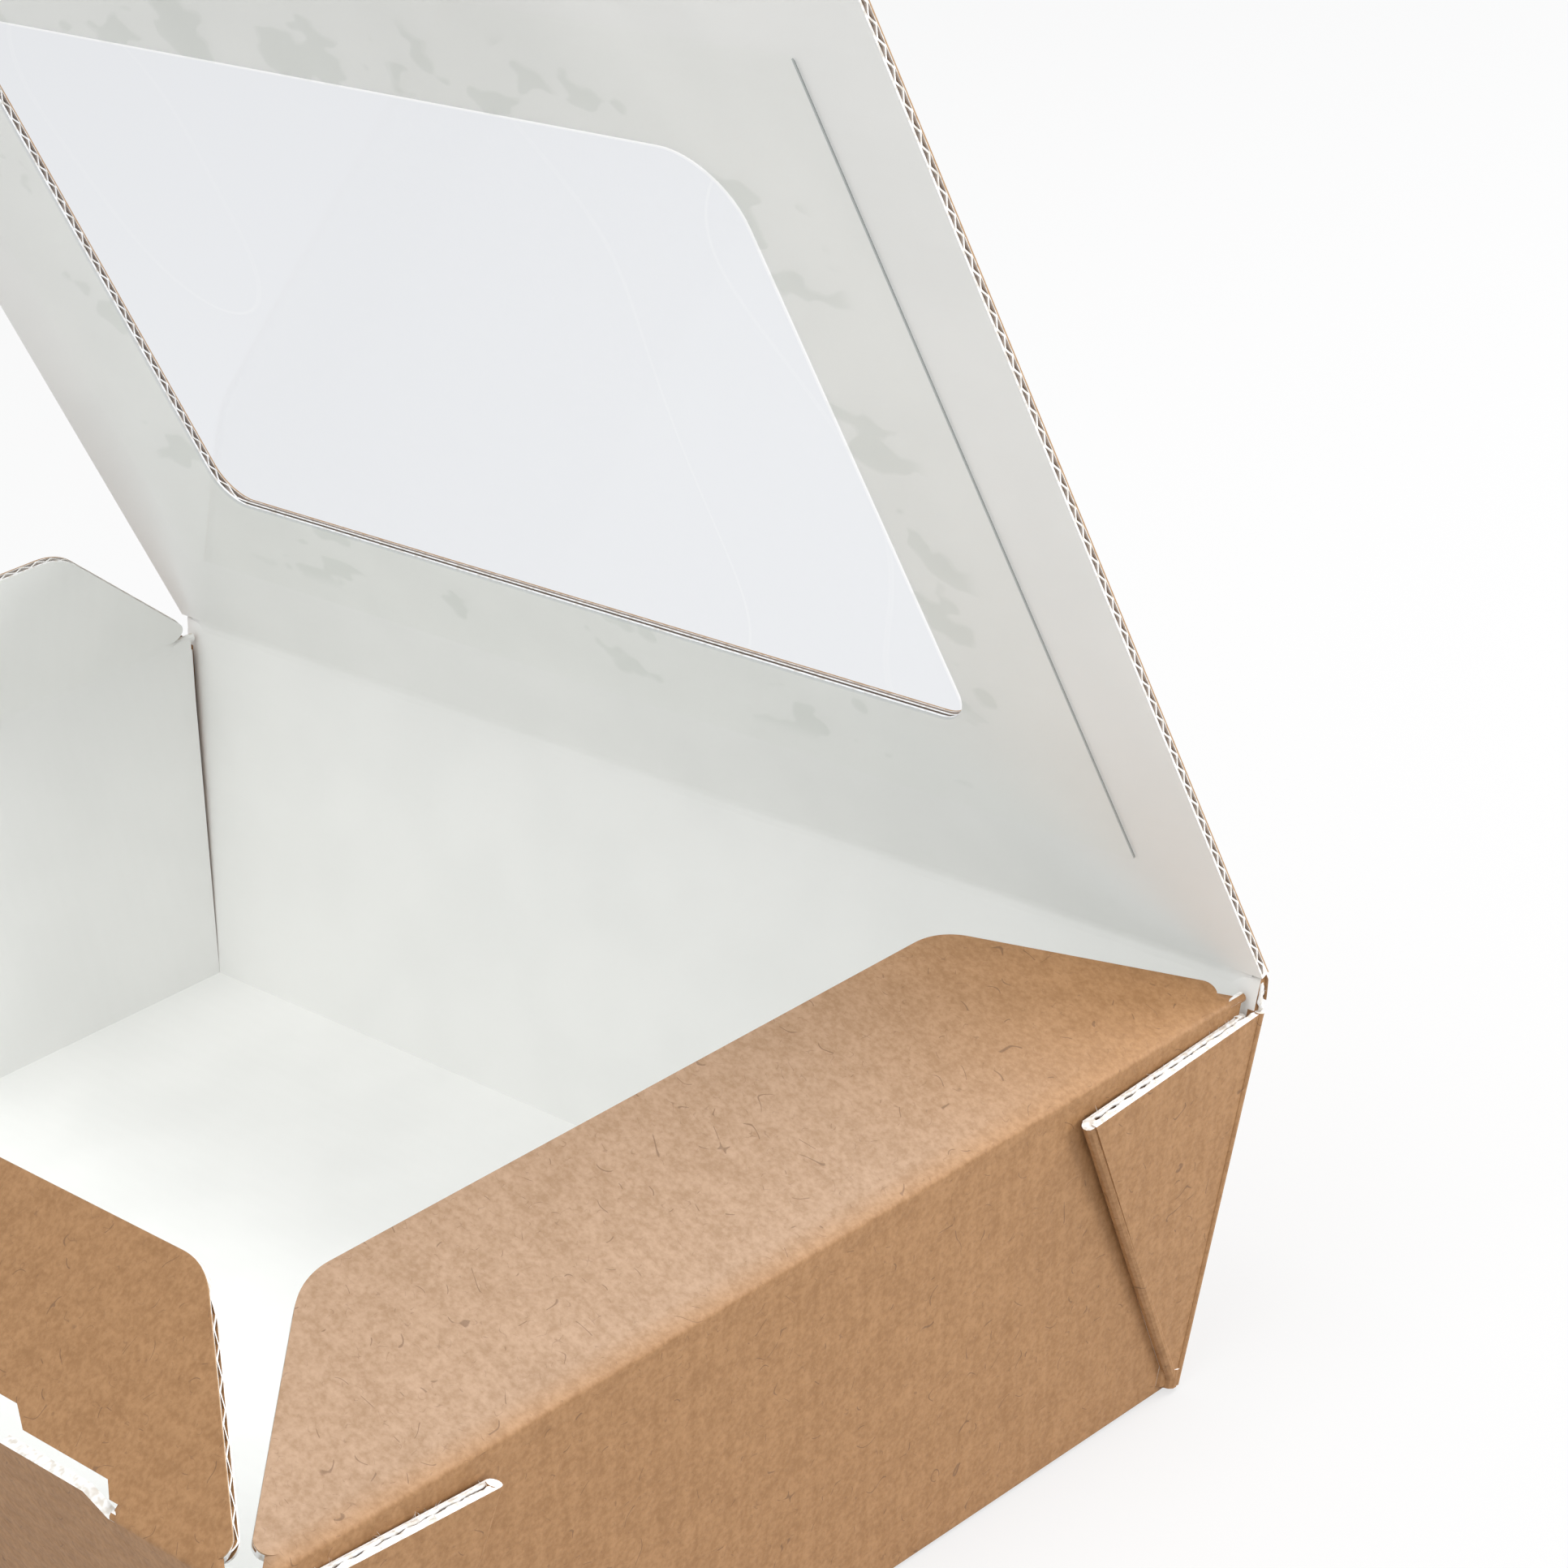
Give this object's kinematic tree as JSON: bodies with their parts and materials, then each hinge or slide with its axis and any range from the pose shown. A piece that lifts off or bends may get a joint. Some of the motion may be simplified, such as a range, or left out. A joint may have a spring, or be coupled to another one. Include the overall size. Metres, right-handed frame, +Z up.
{
  "type": "window lunch box",
  "caption": "Open takeaway lunch box of folded kraft board with a hinged window lid, clear film, three inner flaps and a tuck slot.",
  "frame": {"origin": "middle of the underside of the tray's floor, on the surface the box stands on", "axes": "+X along the lid's hinge to the right end, +Y from the front to the hinge, +Z up"},
  "size_m": [0.2, 0.1441, 0.1828],
  "materials": {
    "kraft_board": "brown kraft outside, white coated inside, matt, with faint stripes from the flutes",
    "clear_film": "clear glossy film"
  },
  "bodies": {
    "tray": {"tray": "kraft_board"},
    "right_flap": {"end_flap_right": "kraft_board"},
    "left_flap": {"end_flap_left": "kraft_board"},
    "front_flap": {"front_flap": "kraft_board"},
    "lid": {"lid_panel": "kraft_board", "window_film": "clear_film"},
    "tongue": {"lid_tongue": "kraft_board"}
  },
  "joints": [
    {"name": "lid_crease", "type": "hinge", "parent": "tray", "child": "lid", "pos_m": [0, 0.07143, 0.0503], "axis": [-1, 0, 0], "range_deg": [-69, 111]},
    {"name": "right_flap_crease", "type": "hinge", "parent": "tray", "child": "right_flap", "pos_m": [0.0974, 0, 0.0484], "axis": [0, 1, 0], "range_deg": [-29.7, 47.47]},
    {"name": "left_flap_crease", "type": "hinge", "parent": "tray", "child": "left_flap", "pos_m": [-0.0974, 0, 0.0484], "axis": [0, -1, 0], "range_deg": [-68.7, 110.21]},
    {"name": "front_flap_crease", "type": "hinge", "parent": "tray", "child": "front_flap", "pos_m": [0, -0.071, 0.0484], "axis": [1, 0, 0], "range_deg": [-40.1, 64.2]},
    {"name": "tongue_crease", "type": "hinge", "parent": "lid", "child": "tongue", "pos_m": [0, 0.0208, 0.18219], "axis": [-1, 0, 0], "range_deg": [-28.3, 45.22]}
  ],
  "couplings": [
    {"joint": "right_flap_crease", "follows": "lid_crease", "ratio": 0.42319},
    {"joint": "left_flap_crease", "follows": "lid_crease", "ratio": 0.98841},
    {"joint": "front_flap_crease", "follows": "lid_crease", "ratio": 0.57391},
    {"joint": "tongue_crease", "follows": "lid_crease", "ratio": 0.4029}
  ]
}
